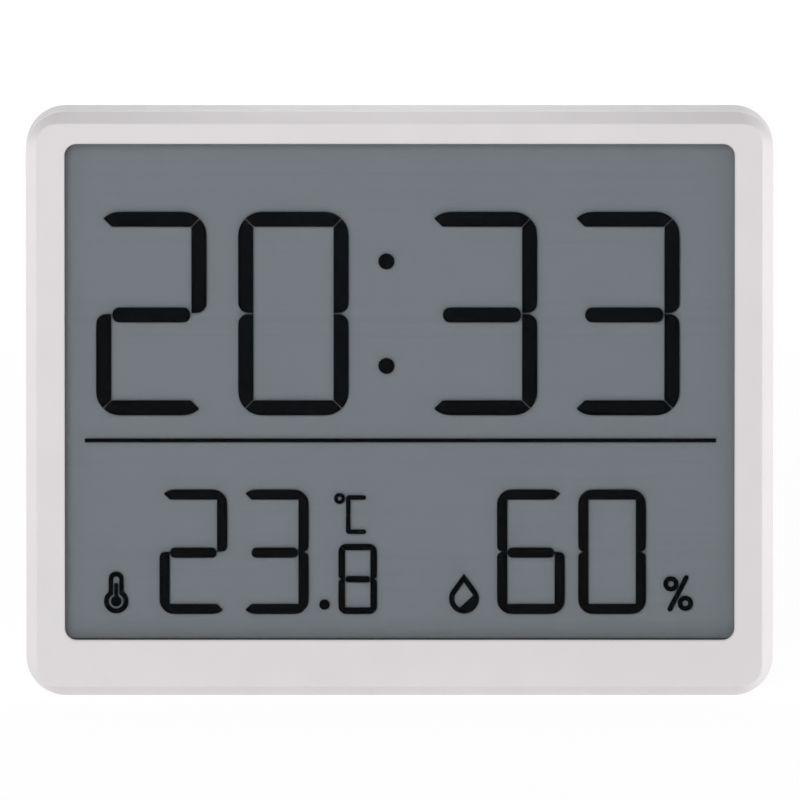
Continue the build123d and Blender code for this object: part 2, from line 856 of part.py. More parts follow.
def stand_cores():
    """Shallow pockets in the stand's inner side, with ribs between them."""
    low = stand_low + stand_notch_height + stand_core_margin
    high = hinge_height - barrel_room - stand_core_margin
    room = stand_width - 2 * stand_core_margin
    width = (room - (stand_core_columns - 1) * stand_rib) / stand_core_columns
    cores = []
    for index in range(stand_core_columns):
        left = stand_core_margin - stand_width / 2 + index * (width + stand_rib)
        cores.append(brick(left, left + width, stand_front, stand_front + stand_core_depth, low, high))
    return Part() + cores


def button(x):
    """Round key with a flange behind the wall and a stem that reaches the switch."""
    place = [(x, button_height)]
    cap_back = case_depth - button_recess
    cap = rods(place, button_radius, flange_front, cap_back)
    cap = chamfer(edges_at(cap, cap_back), button_edge)
    cap += rods(place, button_flange_radius, flange_front, flange_back)
    return cap + rods(place, button_stem_radius, plunger_back, flange_front)


def switch_plunger(x):
    """Plunger of a tact switch, under the button's stem."""
    return rods([(x, button_height)], plunger_radius, plunger_back - plunger_length, plunger_back)


def save(name, shape):
    """Write one node."""
    export_step(Compound(children=shape.solids()), f"parts/{name}.step")


def main():
    """Build and write every node."""
    os.makedirs("parts", exist_ok=True)
    save("front_bezel", front_bezel())
    save("front_lens", front_lens())
    save("display_gasket", display_gasket())
    save("lcd_front_polariser", front_polariser())
    save("lcd_front_glass", front_glass())
    save("lcd_edge_seal", edge_seal())
    save("lcd_time_segments", time_segments())
    save("lcd_climate_segments", climate_segments())
    save("lcd_marks", display_marks())
    save("lcd_rear_glass", rear_glass())
    save("lcd_reflector", reflector())
    save("display_frame", display_frame())
    save("zebra_connector", zebra_connector())
    save("main_board", main_board())
    save("controller_chip", controller_chip())
    save("clock_crystal", clock_crystal())
    save("board_capacitors", board_capacitors())
    save("climate_sensor", climate_sensor())
    save("switch_bodies", switch_bodies())
    save("display_frame_screws", display_frame_screws())
    save("board_screws", board_screws())
    save("case_screws", case_screws())
    save("rear_housing", rear_housing())
    save("battery_upper", battery(upper_cell_height, 1))
    save("battery_lower", battery(lower_cell_height, -1))
    save("contact_positive", contact_positive())
    save("contact_negative", contact_negative())
    save("contact_bridge", contact_bridge())
    save("battery_door", battery_door())
    save("kickstand", kickstand())
    for name, x in zip(button_names, button_xs):
        save(f"{name}_button", button(x))
        save(f"{name}_switch_plunger", switch_plunger(x))


main()
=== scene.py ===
import json
import math

import bmesh
import bpy
from mathutils import Matrix, Vector


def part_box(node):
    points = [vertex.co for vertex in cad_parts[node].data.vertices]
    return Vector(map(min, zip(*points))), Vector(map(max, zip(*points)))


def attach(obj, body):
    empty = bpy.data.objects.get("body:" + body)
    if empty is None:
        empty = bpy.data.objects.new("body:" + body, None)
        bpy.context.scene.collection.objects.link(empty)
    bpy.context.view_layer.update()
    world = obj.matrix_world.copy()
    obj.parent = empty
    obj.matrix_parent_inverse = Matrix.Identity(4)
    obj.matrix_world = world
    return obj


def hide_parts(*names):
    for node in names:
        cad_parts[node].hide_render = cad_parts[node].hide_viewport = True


# Looks of a desk and wall clock with a large LCD: finishes, display signs, screws, key marks,
# light and camera.
# Metres, in the frame of the CAD model: X to the right as seen from the front, Y to the back, Z up.

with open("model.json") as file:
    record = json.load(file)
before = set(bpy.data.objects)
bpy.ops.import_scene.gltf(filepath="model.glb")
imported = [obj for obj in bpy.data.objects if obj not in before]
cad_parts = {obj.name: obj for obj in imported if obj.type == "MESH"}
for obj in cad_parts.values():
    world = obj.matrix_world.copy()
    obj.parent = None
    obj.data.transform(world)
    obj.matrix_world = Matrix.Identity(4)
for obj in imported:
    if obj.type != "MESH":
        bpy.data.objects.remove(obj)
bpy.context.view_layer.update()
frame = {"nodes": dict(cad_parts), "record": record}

# Camera
camera_lens = 1500.0
camera_sensor = 36.0
camera_distance = 7.359
camera_elevation = math.radians(6.8)
camera_target = Vector((0.000086, -0.009, 0.06612))
camera_reach = 100.0

# Light: each lamp's level is the brightness that it alone gives a white surface facing it
world_level = 0.28
lamps = {
    "front_lamp": {"direction": (-0.22, -0.95, 0.28), "distance": 1.6, "size": 1.0, "level": 0.50},
    "left_lamp": {"direction": (-1.0, 0.25, 0.0), "distance": 1.2, "size": 0.12, "level": 0.225},
    "right_lamp": {"direction": (1.0, 0.0, 0.0), "distance": 1.2, "size": 0.12, "level": 0.48},
    "top_lamp": {"direction": (0.0, 0.1, 1.0), "distance": 0.16, "size": 0.09, "level": 0.13},
    "back_lamp": {"direction": (0.0, 0.90, 0.30), "distance": 1.6, "size": 1.0, "level": 0.18},
    "low_back_lamp": {"direction": (0.0, 1.0, 0.0), "distance": 1.6, "size": 0.12, "level": 0.13},
}
floor_half = 4.0
floor_drop = 0.00004
floor_white = 0.60
floor_shade = 0.12
floor_bounce = 0.57
white = (1.0, 1.0, 1.0, 1.0)
most_clear_layers = 32

# Curve between the usual screen steps and linear light
tone_steps = 255
tone_knee = 0.04045
tone_slope = 12.92
tone_offset = 0.055
tone_power = 2.4

# Finishes: tones in screen steps; cloud, flake, pore, texture and line are sizes of a pattern and
# height its depth, in metres; polish is the lowest and the highest roughness; gloss is the level
# of reflection, with one half for usual plastic
noise_low = 0.3
noise_high = 0.7
noise_detail = 3.0
texture_detail = 2.0
polish_per_cloud = 0.25
polish_per_line = 3.0
plastic_index = 1.49
evenly = (1.0, 1.0, 1.0)
looks = {
    "case_white": {
        "dark": (218, 214, 215), "light": (221, 217, 218), "cloud": 0.012, "polish": (0.5, 0.58),
        "texture": 0.00032, "height": 0.000002, "gloss": 0.4,
    },
    "case_white_back": {
        "dark": (218, 214, 215), "light": (221, 217, 218), "cloud": 0.012, "polish": (0.55, 0.64),
        "texture": 0.00028, "height": 0.000006, "gloss": 0.4,
    },
    "key_white": {
        "dark": (222, 220, 221), "light": (228, 226, 227), "cloud": 0.003, "polish": (0.38, 0.46),
        "texture": 0.0002, "height": 0.000002, "gloss": 0.5,
    },
    "retainer_plastic": {
        "dark": (196, 197, 198), "light": (206, 207, 208), "cloud": 0.007, "polish": (0.5, 0.62),
        "texture": 0.0004, "height": 0.000008, "gloss": 0.5,
    },
    "sensor_case": {
        "dark": (214, 216, 216), "light": (224, 226, 226), "cloud": 0.003, "polish": (0.4, 0.5),
        "texture": 0.0003, "height": 0.000006, "gloss": 0.5,
    },
    "switch_case": {
        "dark": (24, 24, 26), "light": (34, 34, 36), "cloud": 0.002, "polish": (0.4, 0.55),
        "texture": 0.0002, "height": 0.000008, "gloss": 0.5,
    },
    "plunger_plastic": {
        "dark": (92, 66, 48), "light": (112, 82, 60), "cloud": 0.001, "polish": (0.35, 0.5),
        "texture": 0.0002, "height": 0.000006, "gloss": 0.5,
    },
    "lens_clear": {
        "dark": (36, 40, 42), "light": (44, 48, 50), "cover": 0.03, "gloss": 0.5,
        "polish": (0.03, 0.06), "cloud": 0.02,
    },
    "polariser_film": {
        "dark": (18, 20, 22), "light": (22, 24, 26), "cover": 0.04, "gloss": 0.1,
        "polish": (0.25, 0.32), "cloud": 0.006,
    },
    "display_glass": {
        "dark": (14, 22, 18), "light": (18, 26, 22), "cover": 0.02, "gloss": 0.1,
        "polish": (0.02, 0.05), "cloud": 0.03,
    },
    "crystal_can": {
        "dark": (176, 178, 182), "light": (206, 208, 211), "polish": (0.2, 0.34),
        "line": 0.0002, "stretch": (0.1, 1.0, 1.0), "height": 0.000003,
    },
    "screw_steel": {
        "dark": (150, 152, 156), "light": (196, 198, 202), "polish": (0.22, 0.4),
        "line": 0.0003, "stretch": evenly, "height": 0.000004,
    },
    "contact_nickel": {
        "dark": (186, 184, 176), "light": (212, 210, 202), "polish": (0.18, 0.32),
        "line": 0.00025, "stretch": (1.0, 1.0, 0.06), "height": 0.000004,
    },
    "display_black": {
        "dark": (2, 3, 6), "light": (5, 6, 9), "cloud": 0.0006, "polish_cloud": 0.0004,
        "polish": (0.5, 0.7), "gloss": 0.0,
    },
    "display_seal": {
        "dark": (58, 62, 62), "light": (74, 78, 77), "cloud": 0.0005, "polish_cloud": 0.0003,
        "polish": (0.3, 0.5), "pore": 0.00025, "height": 0.00001, "gloss": 0.3,
    },
    "display_grey": {
        "dark": (132, 139, 145), "light": (140, 147, 153), "flake": 0.00009, "flake_detail": 1.0,
        "cloud": 0.02, "cloud_share": 0.25, "polish": (0.45, 0.6), "height": 0.000002, "gloss": 0.2,
    },
    "gasket_foam": {
        "dark": (40, 41, 42), "light": (62, 63, 64), "pore": 0.0003, "pore_reach": 0.6,
        "height": 0.00006, "roughness": 0.9, "gloss": 0.1,
    },
    "connector_rubber": {
        "dark": (22, 22, 24), "light": (196, 132, 128), "layers": 900.0, "unevenness": 0.2,
        "height": 0.00001, "roughness": 0.6,
    },
    "board_green": {
        "weave_dark": (22, 78, 52), "weave_light": (18, 68, 45), "copper": (38, 112, 74),
        "weave": 900.0, "weave_offset": 0.5, "tracks": 210.0, "stretch": (1.0, 0.02, 1.0),
        "track_edge": (0.10, 0.14), "height": 0.00003, "roughness": 0.34,
    },
    "chip_epoxy": {
        "dark": (12, 12, 13), "light": (20, 20, 22), "cloud": 0.0004, "wave": 0.0035,
        "polish": (0.16, 0.3), "height": 0.0002,
    },
    "capacitor_ceramic": {
        "dark": (168, 132, 92), "light": (186, 150, 108), "tin": (196, 198, 200), "cloud": 0.0003,
        "texture": 0.0002, "height": 0.000008, "roughness": 0.4,
    },
    "cell_wrap": {
        "dark": (34, 72, 120), "light": (40, 80, 130), "band": (202, 204, 207),
        "bare": (188, 190, 194), "cloud": 0.004, "line": 0.001, "stretch": (1.0, 0.1, 0.1),
        "polish": (0.2, 0.34), "texture": 0.0008, "height": 0.000006, "coat": 0.3,
    },
}

# Signs of the display, as distances from the middle of the case and from its foot
arc_steps = 24
degree_centre = (-0.01325, 0.04388)
degree_radius = 0.00125
degree_hole = 0.00040
letter_left = -0.01188
letter_right = -0.00740
letter_low = 0.03595
letter_high = 0.04463
letter_stroke = 0.00105
letter_corner = 0.00078
letter_waist = 0.00014
letter_waist_height = 0.04024
letter_waist_half = 0.00045
bulb_centre = (-0.06263, 0.02103)
bulb_radius = 0.00272
tube_half = 0.00168
tube_top = 0.02766
bore_half = 0.00066
bore_top = 0.02652
ring_radius = 0.00161
disc_radius = 0.00119
column_half = 0.00045
column_top = 0.02506
drop_centre = (0.01422, 0.02159)
drop_radius = 0.00331
drop_apex = 0.02719
drop_stroke = 0.00119
water_right = (0.00204, 0.00075)
water_left = (-0.00088, -0.00200)
percent_rings = ((0.05996, 0.02487), (0.06315, 0.02056))
percent_ring_radius = 0.00171
percent_ring_hole = 0.00062
slash_ends = ((0.06333, 0.02630), (0.05973, 0.01928))
slash_radius = 0.00055

# Marks on the keys and on the battery door
mark_rise = 0.0002
mark_sink = 0.00005
key_mark_size = 0.0016
key_mark_bar = 0.0005
key_mark_drop_share = 0.6
door_mark_size = 0.0024
door_mark_above_foot = 0.0084
grip_count = 3
grip_pitch = 0.0013
grip_gap = 0.0012
grip_half_length = 0.0042
grip_radius = 0.00032

# Zones of the capacitors and of the cells' wrap
capacitor_count = 4
capacitor_gap = 0.0012
capacitor_body_share = 0.55
wrap_share = 0.955
wrap_band_share = 0.78

# Screws
weld_distance = 0.000001
rim_share = 0.96
sharp_angle = math.radians(35.0)
screw_steps = 32
screw_point_share = 0.7
screw_dome_rows = 5
thread_rows_per_turn = 6
thread_pitch = 0.0008
thread_depth = 0.00022
head_dome_share = 0.7
head_flat_share = 0.45
cross_width = 0.0005
cross_length_share = 1.1
cross_depth_share = 0.7
cross_taper = 0.6


def tone(steps):
    """Linear colour of a tone given in screen steps."""
    linear = []
    for value in steps:
        level = value / tone_steps
        curved = ((level + tone_offset) / (1 + tone_offset)) ** tone_power
        linear.append(level / tone_slope if level <= tone_knee else curved)
    return (*linear, 1.0)


def add_node(material, kind, **settings):
    """New shader node with its settings."""
    node = material.node_tree.nodes.new(kind)
    for name, value in settings.items():
        setattr(node, name, value)
    return node


def feed(material, target, value):
    """Link an output into a socket, or set the socket to a plain value."""
    if isinstance(value, bpy.types.NodeSocket):
        material.node_tree.links.new(value, target)
    else:
        target.default_value = value


def new_material(name, **sockets):
    """Material with a Principled shader whose uniform sockets are set by name."""
    material = bpy.data.materials.new(name)
    material.use_nodes = True
    shader = shader_of(material)
    for socket, value in sockets.items():
        shader.inputs[socket.replace("_", " ")].default_value = value
    return material


def shader_of(material):
    """The Principled shader of a material."""
    return material.node_tree.nodes["Principled BSDF"]


def position(material, stretch=evenly):
    """Place on the piece, stretched along its axes."""
    coordinates = add_node(material, "ShaderNodeTexCoord")
    mapping = add_node(material, "ShaderNodeMapping")
    feed(material, mapping.inputs["Vector"], coordinates.outputs["Object"])
    feed(material, mapping.inputs["Scale"], stretch)
    return mapping.outputs["Vector"]


def grain(material, size, stretch=evenly, detail=noise_detail):
    """Soft noise with blotches of that size in metres, from 0 to 1."""
    noise = add_node(material, "ShaderNodeTexNoise")
    feed(material, noise.inputs["Vector"], position(material, stretch))
    feed(material, noise.inputs["Scale"], 1 / size)
    feed(material, noise.inputs["Detail"], detail)
    return noise.outputs["Fac"]


def cells(material, size):
    """Distance to the middle of the nearest cell of a foam or crystal."""
    voronoi = add_node(material, "ShaderNodeTexVoronoi")
    feed(material, voronoi.inputs["Vector"], position(material))
    feed(material, voronoi.inputs["Scale"], 1 / size)
    return voronoi.outputs["Distance"]


def along_x(material):
    """Place on the piece along the X axis."""
    separate = add_node(material, "ShaderNodeSeparateXYZ")
    feed(material, separate.inputs["Vector"], position(material))
    return separate.outputs["X"]


def calculate(material, operation, first, second=0.0):
    """One step of arithmetic on values."""
    step = add_node(material, "ShaderNodeMath", operation=operation)
    feed(material, step.inputs[0], first)
    feed(material, step.inputs[1], second)
    return step.outputs["Value"]


def spread(material, value, low, high, start=0.0, end=1.0):
    """Value between start and end, spread over low to high."""
    span = add_node(material, "ShaderNodeMapRange")
    feed(material, span.inputs["Value"], value)
    feed(material, span.inputs["From Min"], start)
    feed(material, span.inputs["From Max"], end)
    feed(material, span.inputs["To Min"], low)
    feed(material, span.inputs["To Max"], high)
    return span.outputs["Result"]


def mix_colours(material, share, first, second):
    """Colour between two others."""
    mix = add_node(material, "ShaderNodeMix", data_type="RGBA")
    feed(material, mix.inputs[0], share)
    feed(material, mix.inputs[6], first)
    feed(material, mix.inputs[7], second)
    return mix.outputs[2]


def between_tones(material, share, look):
    """Colour between the dark and the light tone of a look."""
    return mix_colours(material, share, tone(look["dark"]), tone(look["light"]))


def paint(material, colour):
    """Give the shader its colour."""
    feed(material, shader_of(material).inputs["Base Color"], colour)


def colour_by(material, value, look, start=noise_low, end=noise_high):
    """Paint the shader from the look's dark tone to its light one by a value."""
    paint(material, between_tones(material, spread(material, value, 0.0, 1.0, start, end), look))


def roughness_by(material, value, look):
    """Vary the shader's roughness over the look's polish by a value."""
    rough = spread(material, value, *look["polish"], noise_low, noise_high)
    feed(material, shader_of(material).inputs["Roughness"], rough)


def bump_by(material, value, height):
    """Raise the surface by a value, to a height in metres."""
    bump = add_node(material, "ShaderNodeBump")
    feed(material, bump.inputs["Height"], value)
    feed(material, bump.inputs["Distance"], height)
    feed(material, bump.inputs["Strength"], 1.0)
    feed(material, shader_of(material).inputs["Normal"], bump.outputs["Normal"])


def moulded(name, look):
    """Moulded plastic: clouded colour, uneven polish and a fine mould texture."""
    material = new_material(name, Specular_IOR_Level=look["gloss"])
    colour_by(material, grain(material, look["cloud"]), look)
    roughness_by(material, grain(material, look["cloud"] * polish_per_cloud), look)
    bump_by(material, grain(material, look["texture"], detail=texture_detail), look["height"])
    return material


def brushed(name, look):
    """Sheet metal or turned metal with fine drawn lines."""
    material = new_material(name, Metallic=1.0)
    lines = grain(material, look["line"], look["stretch"])
    colour_by(material, lines, look)
    roughness_by(material, grain(material, look["line"] * polish_per_line, look["stretch"]), look)
    bump_by(material, lines, look["height"])
    return material


def clear_layer(name, look):
    """Clear sheet: a faint tint and a nearly even polish."""
    material = new_material(name, Alpha=look["cover"], IOR=plastic_index, Specular_IOR_Level=look["gloss"])
    clouds = grain(material, look["cloud"], detail=0.0)
    colour_by(material, clouds, look)
    roughness_by(material, clouds, look)
    return material


def painted(name, look):
    """Plain surface: clouded colour and uneven polish."""
    material = new_material(name, Specular_IOR_Level=look["gloss"])
    colour_by(material, grain(material, look["cloud"]), look)
    roughness_by(material, grain(material, look["polish_cloud"]), look)
    return material


def display_seal(name, look):
    """Cured adhesive between the glasses."""
    material = painted(name, look)
    bump_by(material, cells(material, look["pore"]), look["height"])
    return material


def display_grey(name, look):
    """Grey rear polariser over a fine metallic reflector."""
    material = new_material(name, Specular_IOR_Level=look["gloss"])
    flakes = grain(material, look["flake"], detail=look["flake_detail"])
    speckle = between_tones(material, spread(material, flakes, 0.0, 1.0, noise_low, noise_high), look)
    clouds = grain(material, look["cloud"])
    shade = spread(material, clouds, 0.0, look["cloud_share"], noise_low, noise_high)
    paint(material, mix_colours(material, shade, speckle, tone(look["dark"])))
    roughness_by(material, flakes, look)
    bump_by(material, flakes, look["height"])
    return material


def gasket_foam(name, look):
    """Dark grey closed-cell foam."""
    material = new_material(name, Specular_IOR_Level=look["gloss"], Roughness=look["roughness"])
    pores = cells(material, look["pore"])
    colour_by(material, pores, look, 0.0, look["pore_reach"])
    bump_by(material, pores, look["height"])
    return material


def connector_rubber(name, look):
    """Rubber strip of thin conducting and insulating layers along its length."""
    material = new_material(name, Roughness=look["roughness"])
    layers = add_node(material, "ShaderNodeTexWave", wave_type="BANDS", bands_direction="X")
    feed(material, layers.inputs["Vector"], position(material))
    feed(material, layers.inputs["Scale"], look["layers"])
    feed(material, layers.inputs["Distortion"], look["unevenness"])
    colour_by(material, layers.outputs["Fac"], look)
    bump_by(material, layers.outputs["Fac"], look["height"])
    return material


def board_green(name, look):
    """Green lacquer over copper tracks, with a woven glass ground."""
    material = new_material(name, Roughness=look["roughness"])
    weave = add_node(material, "ShaderNodeTexBrick", offset=look["weave_offset"])
    feed(material, weave.inputs["Vector"], position(material))
    feed(material, weave.inputs["Scale"], look["weave"])
    tracks = add_node(material, "ShaderNodeTexVoronoi", feature="DISTANCE_TO_EDGE",
                      distance="CHEBYCHEV")
    feed(material, tracks.inputs["Vector"], position(material, look["stretch"]))
    feed(material, tracks.inputs["Scale"], look["tracks"])
    copper = spread(material, tracks.outputs["Distance"], 1.0, 0.0, *look["track_edge"])
    ground = mix_colours(material, weave.outputs["Fac"], tone(look["weave_dark"]),
                         tone(look["weave_light"]))
    paint(material, mix_colours(material, copper, ground, tone(look["copper"])))
    bump_by(material, copper, look["height"])
    return material


def chip_epoxy(name, look):
    """Black potting drop, glossy with slow waves."""
    material = new_material(name)
    waves = grain(material, look["wave"])
    colour_by(material, grain(material, look["cloud"]), look)
    roughness_by(material, waves, look)
    bump_by(material, waves, look["height"])
    return material


def capacitor_ceramic(name, look):
    """Tan ceramic bodies with tinned ends."""
    low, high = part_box("board_capacitors")
    pitch = (high.x - low.x + capacitor_gap) / capacitor_count
    length = pitch - capacitor_gap
    material = new_material(name, Roughness=look["roughness"])
    along = calculate(material, "SUBTRACT", along_x(material), low.x - pitch)
    place = calculate(material, "MODULO", along, pitch)
    from_middle = calculate(material, "ABSOLUTE", calculate(material, "SUBTRACT", place, length / 2))
    ends = calculate(material, "GREATER_THAN", from_middle, length * capacitor_body_share / 2)
    body = between_tones(material, grain(material, look["cloud"]), look)
    paint(material, mix_colours(material, ends, body, tone(look["tin"])))
    feed(material, shader_of(material).inputs["Metallic"], ends)
    bump_by(material, grain(material, look["texture"]), look["height"])
    return material


def cell_wrap(name, look):
    """Printed film round the cells, with bare metal at both ends."""
    low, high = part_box("battery_upper")
    middle = (low.x + high.x) / 2
    half = (high.x - low.x) / 2
    material = new_material(name, Coat_Weight=look["coat"])
    from_middle = calculate(material, "ABSOLUTE",
                            calculate(material, "SUBTRACT", along_x(material), middle))
    bare = calculate(material, "GREATER_THAN", from_middle, half * wrap_share)
    band = calculate(material, "GREATER_THAN", from_middle, half * wrap_band_share)
    film = between_tones(material, grain(material, look["cloud"]), look)
    trimmed = mix_colours(material, band, film, tone(look["band"]))
    paint(material, mix_colours(material, bare, trimmed, tone(look["bare"])))
    feed(material, shader_of(material).inputs["Metallic"], bare)
    roughness_by(material, grain(material, look["line"], look["stretch"]), look)
    bump_by(material, grain(material, look["texture"]), look["height"])
    return material


finishes = {
    "case_white": moulded,
    "case_white_back": moulded,
    "key_white": moulded,
    "retainer_plastic": moulded,
    "sensor_case": moulded,
    "switch_case": moulded,
    "plunger_plastic": moulded,
    "lens_clear": clear_layer,
    "polariser_film": clear_layer,
    "display_glass": clear_layer,
    "crystal_can": brushed,
    "screw_steel": brushed,
    "contact_nickel": brushed,
    "display_black": painted,
    "display_seal": display_seal,
    "display_grey": display_grey,
    "gasket_foam": gasket_foam,
    "connector_rubber": connector_rubber,
    "board_green": board_green,
    "chip_epoxy": chip_epoxy,
    "capacitor_ceramic": capacitor_ceramic,
    "cell_wrap": cell_wrap,
}
textured_nodes = ("rear_housing", "kickstand", "battery_door")


def dress(piece, material):
    """Give every slot of a piece one material."""
    if not piece.material_slots:
        piece.data.materials.append(material)
    for place in piece.material_slots:
        place.material = material


def dress_nodes(materials):
    """Give each node the finish of its slot, and the moulded back its texture."""
    for part in frame["record"]["subparts"]:
        finish = "case_white_back" if part["node"] in textured_nodes else part["material_slot"]
        dress(frame["nodes"][part["node"]], materials[finish])


def finish_piece(piece, body, material):
    """Put a new piece on its body and material."""
    dress(piece, material)
    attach(piece, body)
    return piece


def piece_from(name, mesh):
    """New object in the scene."""
    piece = bpy.data.objects.new(name, mesh)
    bpy.context.scene.collection.objects.link(piece)
    return piece


def arc(centre, radius, start, end, steps=arc_steps):
    """Points along an arc, angles in radians from the X axis."""
    points = []
    for index in range(steps + 1):
        angle = start + (end - start) * index / steps
        points.append((centre[0] + radius * math.cos(angle), centre[1] + radius * math.sin(angle)))
    return points


def circle(centre, radius):
    """Closed circle."""
    return arc(centre, radius, 0.0, math.tau, 2 * arc_steps)[:-1]


def flat_plate(name, loops, front, back):
    """Plate that stands upright between two depths; a loop inside another is a hole or an island."""
    outline = bpy.data.curves.new(name, "CURVE")
    outline.dimensions = "2D"
    outline.fill_mode = "BOTH"
    outline.extrude = (back - front) / 2
    for loop in loops:
        spline = outline.splines.new("POLY")
        spline.points.add(len(loop) - 1)
        for point, (x, height) in zip(spline.points, loop):
            point.co = (x, height, 0.0, 1.0)
        spline.use_cyclic_u = True
    drawn = piece_from(name, outline)
    mesh = bpy.data.meshes.new_from_object(drawn)
    mesh.name = name
    bpy.data.objects.remove(drawn)
    bpy.data.curves.remove(outline)
    upright = Matrix.Rotation(math.pi / 2, 4, "X")
    mesh.transform(Matrix.Translation((0.0, (front + back) / 2, 0.0)) @ upright)
    return piece_from(name, mesh)


def capsule(ends, radius):
    """Outline of a thick line with round ends."""
    (first_x, first_height), (last_x, last_height) = ends
    heading = math.atan2(last_height - first_height, last_x - first_x)
    quarter = math.pi / 2
    far = arc(ends[1], radius, heading - quarter, heading + quarter)
    near = arc(ends[0], radius, heading + quarter, heading + 3 * quarter)
    return far + near


def keyhole_shape(centre, radius, half, top, round_top):
    """Outline of a round bulb with an upright stem."""
    opening = math.asin(half / radius)
    quarter = math.pi / 2
    outline = arc(centre, radius, quarter + opening, 5 * quarter - opening, 2 * arc_steps)
    if round_top:
        return outline + arc((centre[0], top - half), half, 0.0, math.pi)
    return outline + [(centre[0] + half, top), (centre[0] - half, top)]


def letter_shape():
    """Outline of a squared C with round corners and ends and a slight waist."""
    stroke = letter_stroke
    quarter = math.pi / 2
    end_radius = stroke / 2
    end_x = letter_right - end_radius
    corner = letter_corner
    outline = arc((letter_left + corner, letter_high - corner), corner, 2 * quarter, quarter)
    outline += arc((end_x, letter_high - end_radius), end_radius, quarter, -quarter)
    outline += [(letter_left + stroke, letter_high - stroke)]
    outline += waist(letter_left + stroke, -1)
    outline += [(letter_left + stroke, letter_low + stroke)]
    outline += arc((end_x, letter_low + end_radius), end_radius, quarter, -quarter)
    outline += arc((letter_left + corner, letter_low + corner), corner, 3 * quarter, 2 * quarter)
    outline += waist(letter_left, 1)[::-1]
    return outline


def waist(x, side):
    """Shallow notch of the letter's upright, from the top down."""
    depth = side * letter_waist
    return [(x, letter_waist_height + letter_waist_half), (x + depth, letter_waist_height),
            (x, letter_waist_height - letter_waist_half)]


def drop_shape():
    """Outline of a water drop: an apex and the round that its sides run into."""
    centre_x, centre_height = drop_centre
    opening = math.acos(drop_radius / (drop_apex - centre_height))
    quarter = math.pi / 2
    round_part = arc(drop_centre, drop_radius, quarter + opening, 5 * quarter - opening, 2 * arc_steps)
    return [(centre_x, drop_apex)] + round_part


def drop_hole():
    """Empty upper left of the drop, above the slanting waterline."""
    centre_x, centre_height = drop_centre
    reach = drop_apex - centre_height
    inner_radius = drop_radius - drop_stroke
    inner_apex = centre_height + reach * inner_radius / drop_radius
    opening = math.acos(drop_radius / reach)
    low_angle = math.atan2(water_left[1], water_left[0]) + math.tau
    left_side = arc(drop_centre, inner_radius, math.pi / 2 + opening, low_angle)
    right = (centre_x + water_right[0], centre_height + water_right[1])
    return [(centre_x, inner_apex)] + left_side + [right]


def display_signs(material):
    """Degree sign, letter, thermometer, drop and percent sign between the glasses."""
    front, back = (corner.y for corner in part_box("lcd_marks"))
    signs = {
        "sign_degree": [circle(degree_centre, degree_radius), circle(degree_centre, degree_hole)],
        "sign_celsius": [letter_shape()],
        "sign_thermometer": [
            keyhole_shape(bulb_centre, bulb_radius, tube_half, tube_top, True),
            keyhole_shape(bulb_centre, ring_radius, bore_half, bore_top, True),
            keyhole_shape(bulb_centre, disc_radius, column_half, column_top, False),
        ],
        "sign_drop": [drop_shape(), drop_hole()],
        "sign_percent": [capsule(slash_ends, slash_radius)],
    }
    for centre in percent_rings:
        for radius in (percent_ring_radius, percent_ring_hole):
            signs["sign_percent"].append(circle(centre, radius))
    for name, loops in signs.items():
        finish_piece(flat_plate(name, loops, front, back), "case", material)


def key_marks(material):
    """Raised marks on the rear keys: a ring to set, triangles for up and down."""
    for name, turn in (("set", None), ("up", 1), ("down", -1)):
        low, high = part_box(f"{name}_button")
        x = (low.x + high.x) / 2
        height = (low.z + high.z) / 2
        size = key_mark_size
        if turn is None:
            loops = [circle((x, height), size), circle((x, height), size - key_mark_bar)]
        else:
            foot = height - turn * size * key_mark_drop_share
            loops = [[(x - size, foot), (x + size, foot), (x, height + turn * size)]]
        mark = flat_plate(f"{name}_key_mark", loops, high.y - mark_sink, high.y + mark_rise)
        finish_piece(mark, f"{name}_key", material)


def islands(node):
    """Lowest and highest corner of each separate lump of a node."""
    mesh = bmesh.new()
    mesh.from_mesh(frame["nodes"][node].data)
    bmesh.ops.remove_doubles(mesh, verts=mesh.verts, dist=weld_distance)
    left = set(mesh.verts)
    boxes = []
    while left:
        lump = [left.pop()]
        for vertex in lump:
            for edge in vertex.link_edges:
                other = edge.other_vert(vertex)
                if other in left:
                    left.remove(other)
                    lump.append(other)
        places = [vertex.co for vertex in lump]
        low = Vector(min(place[axis] for place in places) for axis in range(3))
        high = Vector(max(place[axis] for place in places) for axis in range(3))
        boxes.append((low, high))
    mesh.free()
    return sorted(boxes, key=lambda box: (box[0].x, box[0].z))


def lathe(mesh, rows, steps):
    """Skin of quads over rings of a profile, closed at both ends with fans."""
    rings = []
    for row in rows:
        ring = []
        for index in range(steps):
            angle = math.tau * index / steps
            depth, radius = row(angle)
            ring.append(mesh.verts.new((radius * math.cos(angle), depth, radius * math.sin(angle))))
        rings.append(ring)
    for ring, following in zip(rings, rings[1:]):
        for index in range(steps):
            after = (index + 1) % steps
            mesh.faces.new((ring[index], ring[after], following[after], following[index]))
    mesh.faces.new(rings[0][::-1])
    mesh.faces.new(rings[-1])


def thread_row(depth, radius, bite):
    """Ring of a screw thread: its radius climbs and falls once in a turn."""
    def place(angle):
        turn = (depth / thread_pitch + angle / math.tau) % 1.0
        return depth, radius - bite * abs(2 * turn - 1)
    return place


def plain_row(depth, radius):
    """Round ring."""
    return lambda angle: (depth, radius)


